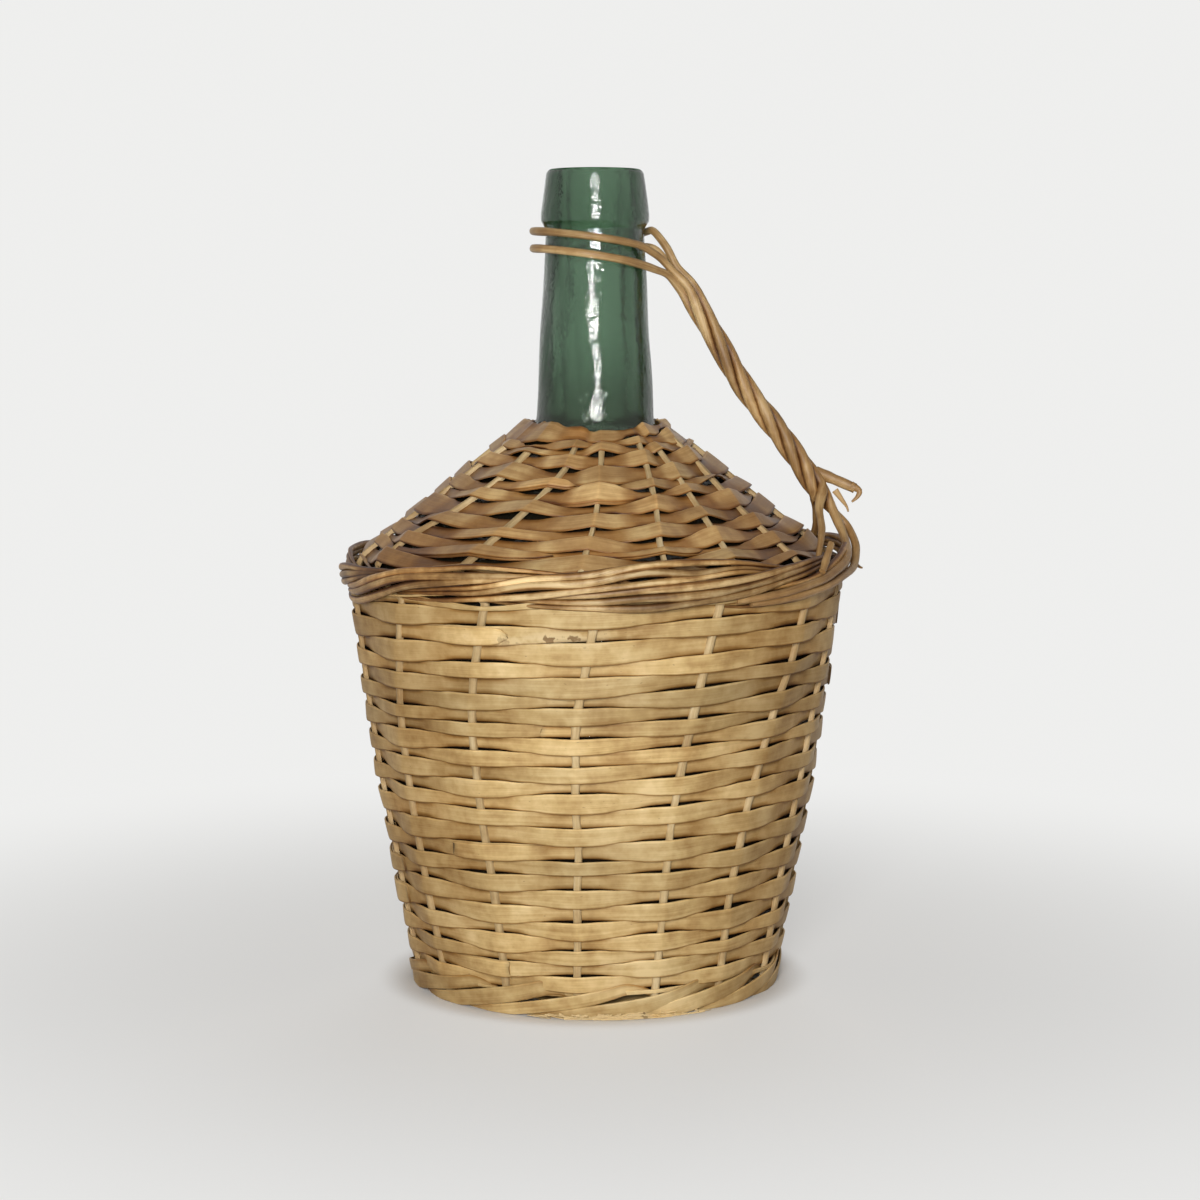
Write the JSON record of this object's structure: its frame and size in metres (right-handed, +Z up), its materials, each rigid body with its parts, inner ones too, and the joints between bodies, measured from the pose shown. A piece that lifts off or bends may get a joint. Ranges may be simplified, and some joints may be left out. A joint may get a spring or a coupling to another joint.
{
  "type": "demijohn",
  "caption": "Round-shouldered green glass demijohn in a woven split-wood basket, with a twisted cane handle from neck to rim.",
  "frame": {"origin": "centre of the foot's flat underside, under the middle of the part's outer box", "axes": "+Z up along the bottle's axis, +X towards the handle, -Y towards the viewer of the picture"},
  "size_m": [0.2292, 0.2246, 0.36],
  "materials": {
    "green_glass": "clear green bottle glass, hand-made, smooth",
    "wicker": "flat split wood, bare, dry and fibrous",
    "stake_wood": "narrow split wood, bare, paler than the weave",
    "cane": "round cane, bare, dull with a slight sheen"
  },
  "bodies": {
    "root": {"base_core": "wicker", "base_splint_01": "wicker", "base_splint_02": "wicker", "base_splint_03": "wicker", "body_splint_01": "wicker", "body_splint_02": "wicker", "body_splint_03": "wicker", "body_splint_04": "wicker", "body_splint_05": "wicker", "body_splint_06": "wicker", "body_splint_07": "wicker", "body_splint_08": "wicker", "body_splint_09": "wicker", "body_splint_10": "wicker", "body_splint_11": "wicker", "body_splint_12": "wicker", "body_splint_13": "wicker", "body_splint_14": "wicker", "foot_splint_1": "wicker", "foot_splint_2": "wicker", "foot_splint_3": "wicker", "glass_bottle": "green_glass", "handle_cane_lower": "cane", "handle_cane_upper": "cane", "rim_cane_1a": "cane", "rim_cane_1b": "cane", "rim_cane_1c": "cane", "rim_cane_2a": "cane", "rim_cane_2b": "cane", "rim_cane_2c": "cane", "rim_cane_3a": "cane", "rim_cane_3b": "cane", "rim_cane_3c": "cane", "shoulder_splint_01": "wicker", "shoulder_splint_02": "wicker", "shoulder_splint_03": "wicker", "shoulder_splint_04": "wicker", "shoulder_splint_05": "wicker", "shoulder_splint_06": "wicker", "shoulder_splint_07": "wicker", "stake_01": "stake_wood", "stake_02": "stake_wood", "stake_03": "stake_wood", "stake_04": "stake_wood", "stake_05": "stake_wood", "stake_06": "stake_wood", "stake_07": "stake_wood", "stake_08": "stake_wood", "stake_09": "stake_wood", "stake_10": "stake_wood", "stake_11": "stake_wood", "stake_12": "stake_wood", "stake_13": "stake_wood", "stake_14": "stake_wood", "stake_15": "stake_wood"}
  },
  "joints": []
}
